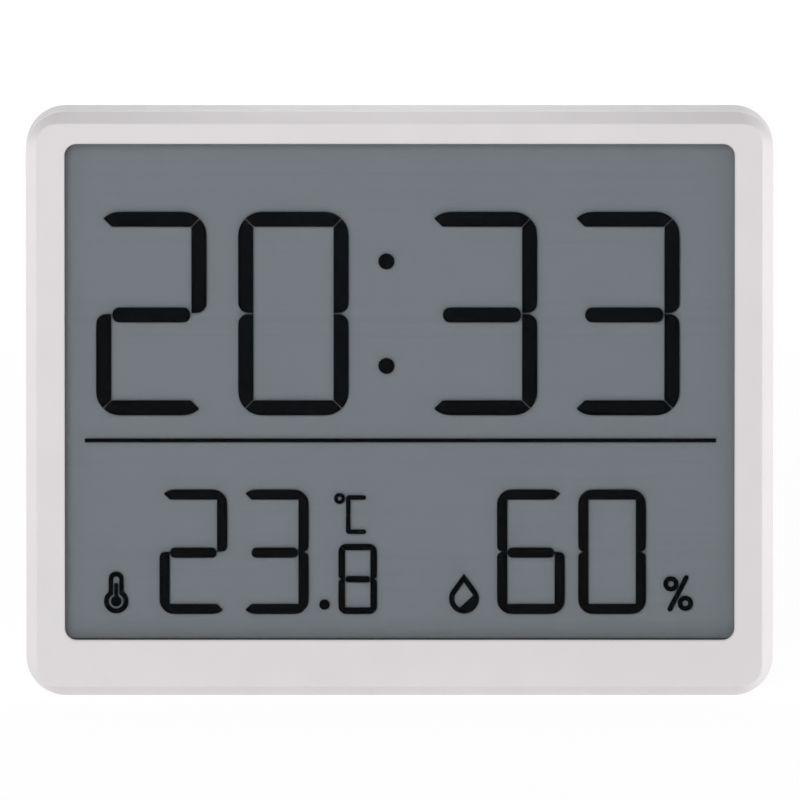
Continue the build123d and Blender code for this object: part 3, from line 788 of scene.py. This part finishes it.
def screw_mesh(name, head_radius, seat, head_back, shank_radius, end):
    """Pan-head screw with a rolled thread, its axis along Y, before the cross is cut."""
    mesh = bmesh.new()
    length = seat - end
    count = round(length / thread_pitch * thread_rows_per_turn)
    rows = [plain_row(end, shank_radius * screw_point_share)]
    for index in range(1, count):
        depth = end + length * index / count
        bite = thread_depth * min(1.0, (seat - depth) / thread_pitch)
        rows.append(thread_row(depth, shank_radius, bite))
    rows.append(plain_row(seat, shank_radius))
    rows.append(plain_row(seat, head_radius))
    rim = head_back - (head_back - seat) * head_dome_share
    for index in range(screw_dome_rows):
        angle = math.pi / 2 * index / screw_dome_rows
        depth = rim + (head_back - rim) * math.sin(angle)
        reach = head_flat_share + (1 - head_flat_share) * math.cos(angle)
        rows.append(plain_row(depth, head_radius * reach))
    rows.append(plain_row(head_back, head_radius * head_flat_share))
    lathe(mesh, rows, screw_steps)
    bmesh.ops.recalc_face_normals(mesh, faces=mesh.faces)
    return to_mesh(name, mesh)


def to_mesh(name, source):
    """Blender mesh from a bmesh, which is freed."""
    mesh = bpy.data.meshes.new(name)
    source.to_mesh(mesh)
    source.free()
    return mesh


def cross_cutter(head_radius, head_back, depth):
    """Tapered cross that is cut out of a screw's head."""
    mesh = bmesh.new()
    reach = head_radius * cross_length_share / 2
    for half_x, half_z in ((reach, cross_width / 2), (cross_width / 2, reach)):
        corners = []
        for y, taper in ((head_back - depth, cross_taper), (head_back + depth, 2 - cross_taper)):
            for side_x, side_z in ((-1, -1), (1, -1), (1, 1), (-1, 1)):
                corners.append(mesh.verts.new((side_x * half_x * taper, y, side_z * half_z * taper)))
        mesh.faces.new(corners[:4])
        mesh.faces.new(corners[:3:-1])
        for index in range(4):
            after = (index + 1) % 4
            mesh.faces.new((corners[index + 4], corners[after + 4], corners[after], corners[index]))
    bmesh.ops.recalc_face_normals(mesh, faces=mesh.faces)
    return piece_from("cross_cutter", to_mesh("cross_cutter", mesh))


def cut_out(mesh, cutter):
    """Mesh with the cutter's shape taken out of it."""
    blank = piece_from("blank", mesh)
    cut = blank.modifiers.new("cut", "BOOLEAN")
    cut.operation = "DIFFERENCE"
    cut.solver = "EXACT"
    cut.use_self = True
    cut.object = cutter
    bpy.context.view_layer.update()
    evaluated = blank.evaluated_get(bpy.context.evaluated_depsgraph_get())
    result = bpy.data.meshes.new_from_object(evaluated)
    bpy.data.objects.remove(blank)
    bpy.data.objects.remove(cutter)
    return result


def screw_sizes(node, low, high):
    """Head radius, seat depth and shank radius of a node's plain screw, given its box."""
    middle = (low + high) / 2
    head_radius = (high.x - low.x) / 2
    rim_depths = []
    end_reaches = []
    for vertex in frame["nodes"][node].data.vertices:
        reach = (vertex.co - middle).xz.length
        if reach > head_radius * (2 - rim_share):
            continue
        if reach > head_radius * rim_share:
            rim_depths.append(vertex.co.y)
        if vertex.co.y < low.y + thread_depth:
            end_reaches.append(reach)
    return head_radius, min(rim_depths), max(end_reaches)


def screws(node, material):
    """Detailed screws in place of a node's plain ones."""
    places = islands(node)
    low, high = places[0]
    head_radius, seat, shank_radius = screw_sizes(node, low, high)
    mesh = screw_mesh(node, head_radius, seat, high.y, shank_radius, low.y)
    depth = (high.y - seat) * cross_depth_share
    mesh = cut_out(mesh, cross_cutter(head_radius, high.y, depth))
    for polygon in mesh.polygons:
        polygon.use_smooth = True
    mesh.set_sharp_from_angle(angle=sharp_angle)
    for index, (low, high) in enumerate(places):
        screw = piece_from(f"{node}_{index + 1}", mesh.copy())
        screw.data.transform(Matrix.Translation(((low.x + high.x) / 2, 0.0, (low.z + high.z) / 2)))
        finish_piece(screw, "case", material)
        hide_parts(node)


def door_marks(material):
    """Raised arrow and grip ribs on the battery door."""
    low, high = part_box("battery_door")
    middle = (low.x + high.x) / 2
    size = door_mark_size
    foot = low.z + door_mark_above_foot
    arrow = [(middle - size, foot + size), (middle, foot), (middle + size, foot + size)]
    loops = [arrow]
    for index in range(grip_count):
        height = foot + size + grip_gap + index * grip_pitch
        ends = ((middle - grip_half_length, height), (middle + grip_half_length, height))
        loops.append(capsule(ends, grip_radius))
    marks = flat_plate("door_marks", loops, high.y - mark_sink, high.y + mark_rise)
    finish_piece(marks, "battery_cover", material)


def stage_floor():
    """Pale floor that shows near white to the camera and keeps the shadow."""
    mesh = bpy.data.meshes.new("floor")
    corners = [(-floor_half, -floor_half), (floor_half, -floor_half),
               (floor_half, floor_half), (-floor_half, floor_half)]
    mesh.from_pydata([(x, y, -floor_drop) for x, y in corners], [], [(0, 1, 2, 3)])
    floor = piece_from("floor", mesh)
    material = bpy.data.materials.new("floor")
    material.use_nodes = True
    nodes = material.node_tree.nodes
    nodes.clear()
    output = add_node(material, "ShaderNodeOutputMaterial")
    seen = seen_directly(material)
    diffuse = add_node(material, "ShaderNodeBsdfDiffuse")
    shade = spread(material, seen, 1.0 - floor_bounce, floor_shade)
    feed(material, diffuse.inputs["Color"], shade)
    glow = add_node(material, "ShaderNodeEmission")
    brightness = spread(material, seen, floor_bounce, 1.0 - floor_shade * floor_white)
    feed(material, glow.inputs["Strength"], brightness)
    both = add_node(material, "ShaderNodeAddShader")
    feed(material, both.inputs[0], diffuse.outputs["BSDF"])
    feed(material, both.inputs[1], glow.outputs["Emission"])
    feed(material, output.inputs["Surface"], both.outputs["Shader"])
    dress(floor, material)


def seen_directly(material):
    """1 for what the camera sees itself, or in gloss or through glass."""
    path = add_node(material, "ShaderNodeLightPath")
    mirrored = calculate(material, "MAXIMUM", path.outputs["Is Glossy Ray"],
                         path.outputs["Is Transmission Ray"])
    return calculate(material, "MAXIMUM", path.outputs["Is Camera Ray"], mirrored)


def light_world():
    """Even pale surroundings that show as white."""
    world = bpy.data.worlds.new("surroundings")
    world.use_nodes = True
    world.node_tree.nodes.clear()
    output = add_node(world, "ShaderNodeOutputWorld")
    lighting = add_node(world, "ShaderNodeBackground")
    feed(world, lighting.inputs["Strength"], world_level)
    feed(world, lighting.inputs["Color"], white)
    shown = add_node(world, "ShaderNodeBackground")
    feed(world, shown.inputs["Color"], white)
    mix = add_node(world, "ShaderNodeMixShader")
    feed(world, mix.inputs[0], seen_directly(world))
    feed(world, mix.inputs[1], lighting.outputs["Background"])
    feed(world, mix.inputs[2], shown.outputs["Background"])
    feed(world, output.inputs["Surface"], mix.outputs["Shader"])
    bpy.context.scene.world = world


def place_lamps():
    """Square lamps in front, at both sides, above and behind, aimed at the middle of the face."""
    for name, light in lamps.items():
        lamp = bpy.data.lights.new(name, "AREA")
        lamp.size = light["size"]
        lamp.energy = light["level"] * (math.pi * light["distance"]) ** 2
        holder = piece_from(name, lamp)
        direction = Vector(light["direction"]).normalized()
        holder.location = camera_target + light["distance"] * direction
        holder.rotation_euler = direction.to_track_quat("Z", "Y").to_euler()


def place_camera():
    """Long lens, a little above the middle of the face."""
    camera = bpy.data.cameras.new("camera")
    camera.lens = camera_lens
    camera.sensor_width = camera_sensor
    camera.clip_end = camera_reach
    holder = piece_from("camera", camera)
    back = Vector((0.0, -math.cos(camera_elevation), math.sin(camera_elevation)))
    holder.location = camera_target + camera_distance * back
    holder.rotation_euler = (math.pi / 2 - camera_elevation, 0.0, 0.0)
    bpy.context.scene.camera = holder


place_camera()
light_world()
place_lamps()
stage_floor()
bpy.context.scene.view_settings.view_transform = "Standard"
bpy.context.scene.cycles.transparent_max_bounces = most_clear_layers

materials = {name: make(name, looks[name]) for name, make in finishes.items()}
dress_nodes(materials)
display_signs(materials["display_black"])
key_marks(materials["key_white"])
door_marks(materials["case_white"])
for node in ("case_screws", "display_frame_screws", "board_screws"):
    screws(node, materials["screw_steel"])
